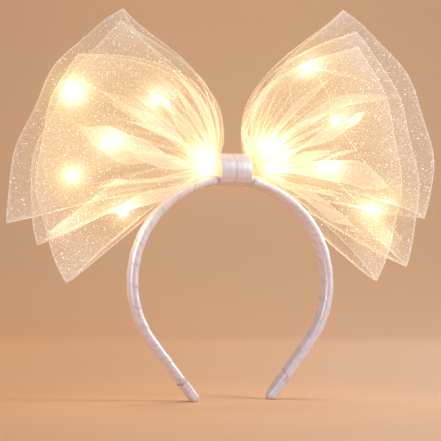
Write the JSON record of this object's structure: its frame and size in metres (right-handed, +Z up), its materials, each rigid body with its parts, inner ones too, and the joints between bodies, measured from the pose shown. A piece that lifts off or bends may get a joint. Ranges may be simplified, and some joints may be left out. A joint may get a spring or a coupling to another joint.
{
  "type": "light-up bow headband",
  "caption": "Ribbon-wound hoop headband with a large gathered bow of glitter net tied on top and a string of warm lamps inside the bow; it stands on its tips.",
  "frame": {"origin": "midway between the two tips, on the surface that they stand on", "axes": "+X to the wearer's left as seen from the front, along the bow; +Y from the front to the back; +Z up"},
  "size_m": [0.2916, 0.0656, 0.2591],
  "materials": {
    "satin_ribbon": "satin ribbon, pale lilac white",
    "glitter_net": "fine see-through net with white glitter",
    "lamp_wire": "thin lacquered copper wire",
    "lamp_resin": "clear resin drop over a warm white lamp"
  },
  "bodies": {
    "root": {"band": "satin_ribbon", "knot_under": "satin_ribbon", "knot_over": "satin_ribbon", "tip_cover_left": "satin_ribbon", "tip_cover_right": "satin_ribbon", "net_outer": "glitter_net", "net_middle": "glitter_net", "net_inner": "glitter_net", "light_wire_left": "lamp_wire", "light_wire_right": "lamp_wire", "lamp_left_1": "lamp_resin", "lamp_left_2": "lamp_resin", "lamp_left_3": "lamp_resin", "lamp_left_4": "lamp_resin", "lamp_left_5": "lamp_resin", "lamp_left_6": "lamp_resin", "lamp_left_7": "lamp_resin", "lamp_right_1": "lamp_resin", "lamp_right_2": "lamp_resin", "lamp_right_3": "lamp_resin", "lamp_right_4": "lamp_resin", "lamp_right_5": "lamp_resin", "lamp_right_6": "lamp_resin", "lamp_right_7": "lamp_resin"}
  },
  "joints": []
}
